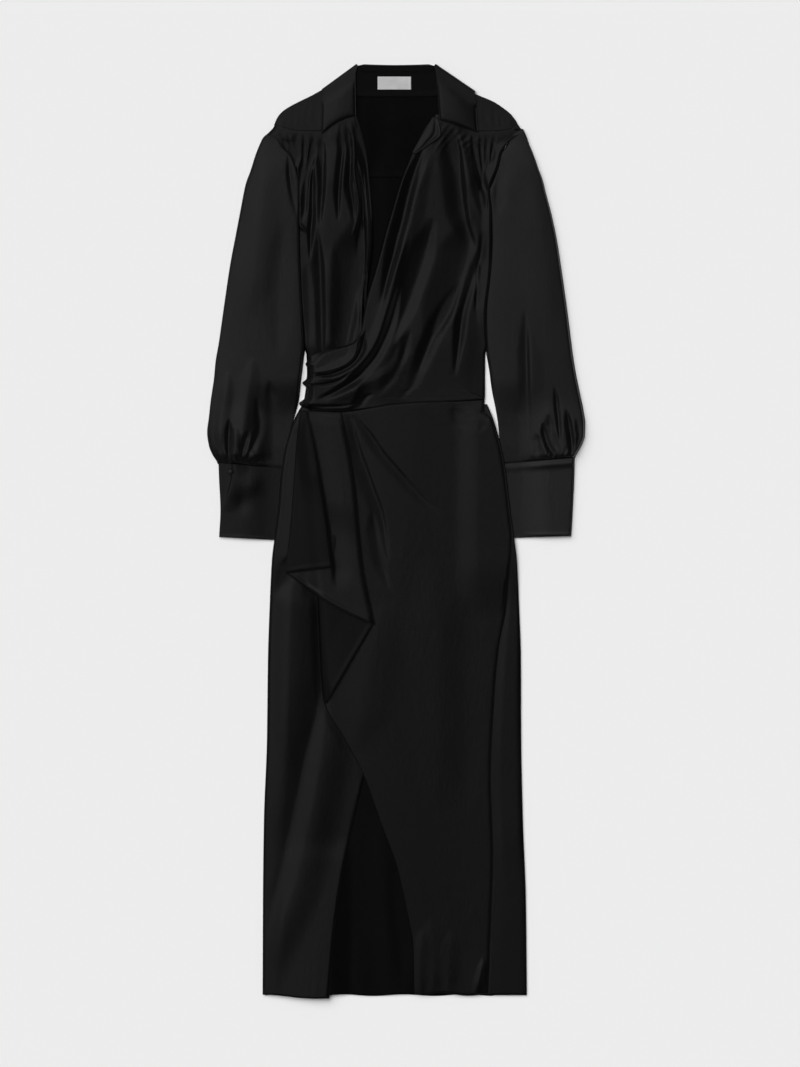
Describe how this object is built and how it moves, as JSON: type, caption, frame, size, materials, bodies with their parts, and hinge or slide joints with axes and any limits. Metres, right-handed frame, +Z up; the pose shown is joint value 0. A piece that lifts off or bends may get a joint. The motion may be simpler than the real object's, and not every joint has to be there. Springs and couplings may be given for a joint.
{
  "type": "wrap dress",
  "caption": "Long-sleeved satin wrap dress laid out flat, with a pointed collar, gathered bodice, deep cuffs and a full-length skirt with a side cascade and front slit.",
  "frame": {"origin": "middle of the laid-out dress's outline, on the surface that it lies on", "axes": "+Z up from the surface, +Y from the hem to the collar, +X to the right of someone who looks down on it"},
  "size_m": [0.5677, 1.4015, 0.0184],
  "materials": {
    "satin": "soft black satin",
    "satin_reverse": "duller crepe side of the same satin",
    "label": "pale woven tape"
  },
  "bodies": {
    "root": {"back_bodice": "satin", "back_yoke": "satin", "back_skirt": "satin", "front_yoke_left": "satin", "front_yoke_right": "satin", "under_bodice": "satin", "over_bodice": "satin", "neck_facing": "satin_reverse", "under_skirt": "satin", "over_skirt": "satin", "collar": "satin", "collar_stand": "satin_reverse", "neck_label": "label", "sleeve_left": "satin", "sleeve_right": "satin", "cuff_left": "satin", "cuff_right": "satin", "cuff_button": "satin"}
  },
  "joints": []
}
